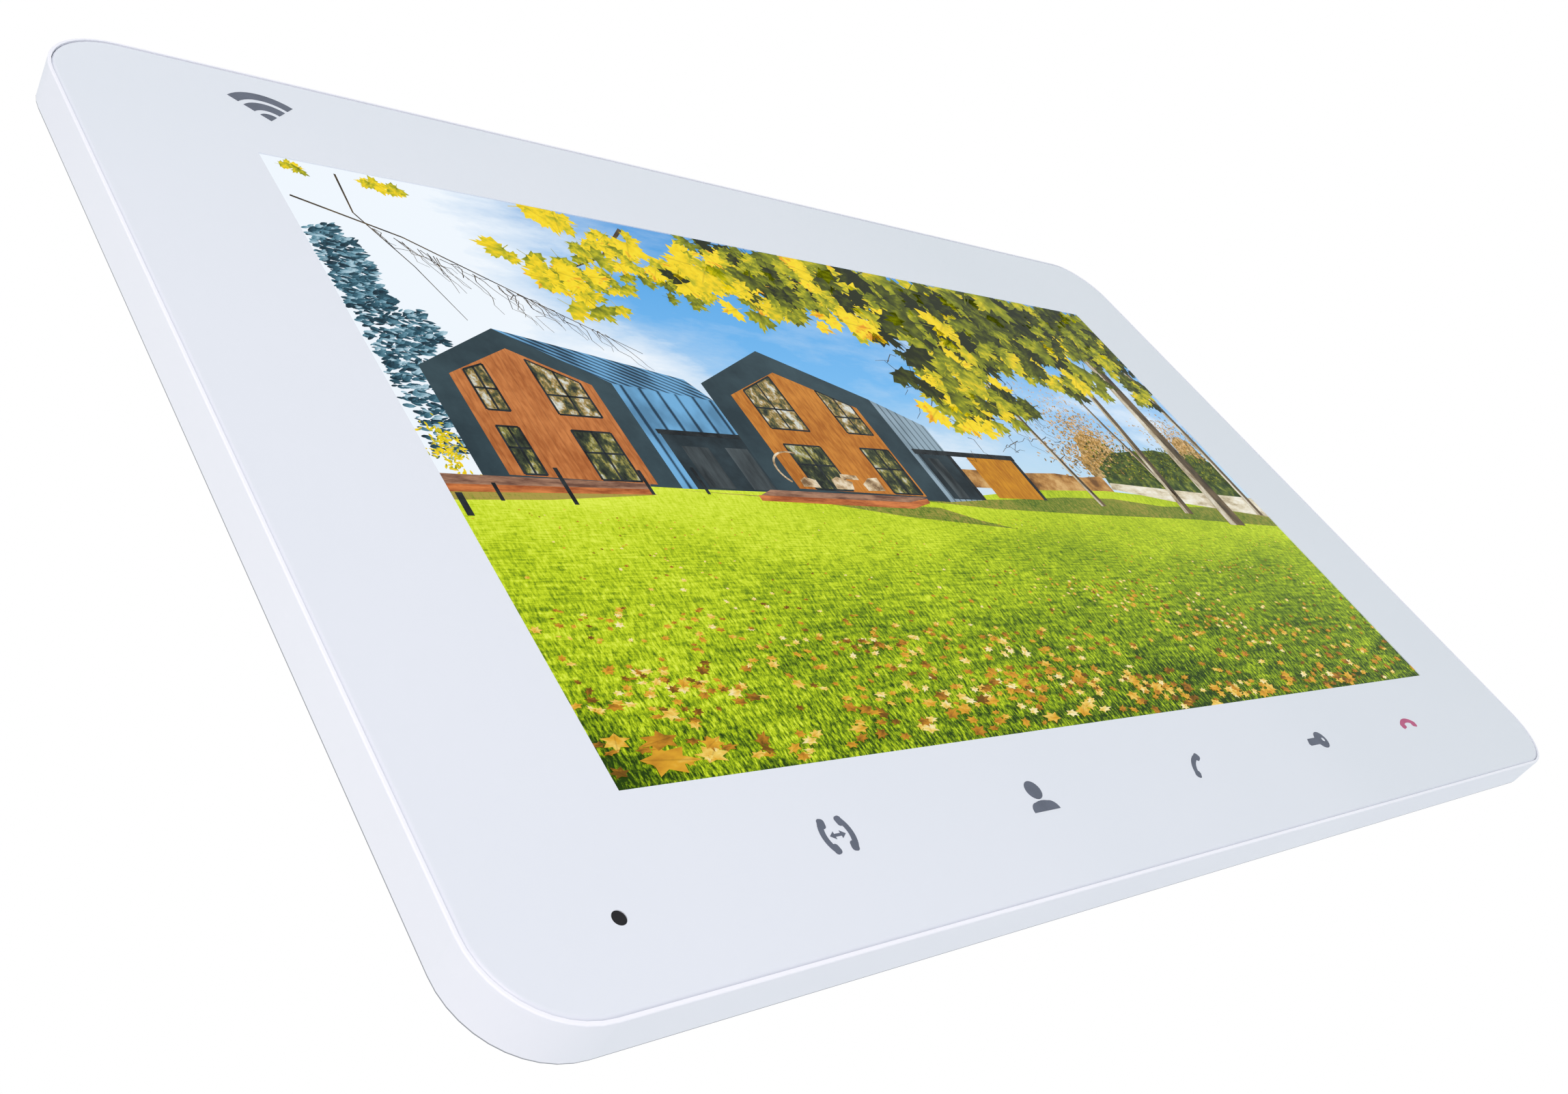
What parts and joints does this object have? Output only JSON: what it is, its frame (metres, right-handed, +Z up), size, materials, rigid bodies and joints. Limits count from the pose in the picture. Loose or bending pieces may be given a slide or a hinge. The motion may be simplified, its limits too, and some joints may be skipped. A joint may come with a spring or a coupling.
{
  "type": "video intercom monitor",
  "caption": "Slim wall-mounted video intercom monitor with a flush wide display, a row of touch key symbols and a lift-off steel wall bracket.",
  "frame": {"origin": "centre of the bracket's four-slot screw pattern, on the plane of the wall", "axes": "+X to the right seen from the front, +Z up, +Y into the wall; the display faces -Y"},
  "size_m": [0.278, 0.024, 0.1768],
  "materials": {
    "panel_white": "smooth, soft gloss",
    "shell_white": "smooth, satin gloss",
    "cover_white": "fine moulded texture",
    "picture": "clear lens over a lit picture",
    "ink_grey": "screen printed",
    "ink_red": "screen printed",
    "clear_resin": "clear",
    "dark_glass": "dark display glass",
    "film_white": "matt white film",
    "led_yellow": "phosphor yellow",
    "tray_steel": "rolled sheet",
    "tin_plate": "tin plated",
    "bracket_steel": "zinc plated sheet",
    "screw_steel": "zinc plated",
    "cell_steel": "nickel plated",
    "gold_metal": "gold plated",
    "can_aluminium": "drawn can",
    "magnet_iron": "plated ferrite",
    "cone_paper": "pressed paper",
    "board_green": "solder mask",
    "flex_amber": "polyimide film",
    "cream_plastic": "moulded",
    "red_plastic": "moulded",
    "black_plastic": "moulded",
    "black_rubber": "moulded rubber",
    "black_foam": "closed cell foam",
    "label_silver": "blank silver label"
  },
  "bodies": {
    "bracket": {"wall_bracket": "bracket_steel"},
    "monitor": {"rear_cover": "cover_white", "front_shell": "shell_white", "front_panel": "panel_white", "display_lens": "picture", "grey_symbols": "ink_grey", "hang_up_symbol": "ink_red", "panel_tape": "black_foam", "optical_bond": "clear_resin", "window_gasket": "black_foam", "display_cell": "dark_glass", "diffuser_films": "film_white", "light_guide": "clear_resin", "module_frame": "film_white", "backlight_strip": "film_white", "backlight_leds": "led_yellow", "display_tray": "tray_steel", "key_board": "board_green", "key_foam": "black_foam", "touch_springs": "gold_metal", "key_leds": "film_white", "touch_flex": "flex_amber", "display_flex": "flex_amber", "flex_connectors": "cream_plastic", "main_board": "board_green", "board_screws": "screw_steel", "processor": "black_plastic", "processor_shield": "tin_plate", "board_chips": "black_plastic", "capacitors": "can_aluminium", "wire_headers": "cream_plastic", "power_header": "red_plastic", "header_pins": "gold_metal", "card_socket": "tin_plate", "reset_switch": "black_plastic", "power_switch": "tin_plate", "coin_cell_holder": "black_plastic", "coin_cell": "cell_steel", "speaker_gasket": "black_foam", "speaker_basket": "tray_steel", "speaker_cone": "cone_paper", "speaker_magnet": "magnet_iron", "microphone_boot": "black_rubber", "microphone": "can_aluminium", "microphone_screen": "black_foam", "wireless_board": "board_green", "wireless_shield": "tin_plate", "antenna": "flex_amber", "rating_label": "label_silver", "rear_pads": "black_rubber", "case_screws": "screw_steel"},
    "card": {"memory_card": "black_plastic"},
    "plunger": {"reset_plunger": "cream_plastic"},
    "knob": {"power_knob": "black_plastic"}
  },
  "joints": [
    {"name": "lift_off", "type": "slide", "parent": "bracket", "child": "monitor", "axis": [0, 0, 1], "range_m": [0, 0.0073]},
    {"name": "card_slide", "type": "slide", "parent": "monitor", "child": "card", "axis": [0, 0, -1], "range_m": [0, 0.01]},
    {"name": "reset_press", "type": "slide", "parent": "monitor", "child": "plunger", "axis": [0, 0, 1], "range_m": [0, 0.00025], "stiffness_N_per_m": 2000, "springref_m": -0.0002},
    {"name": "power_slide", "type": "slide", "parent": "monitor", "child": "knob", "axis": [1, 0, 0], "range_m": [0, 0.002]}
  ]
}
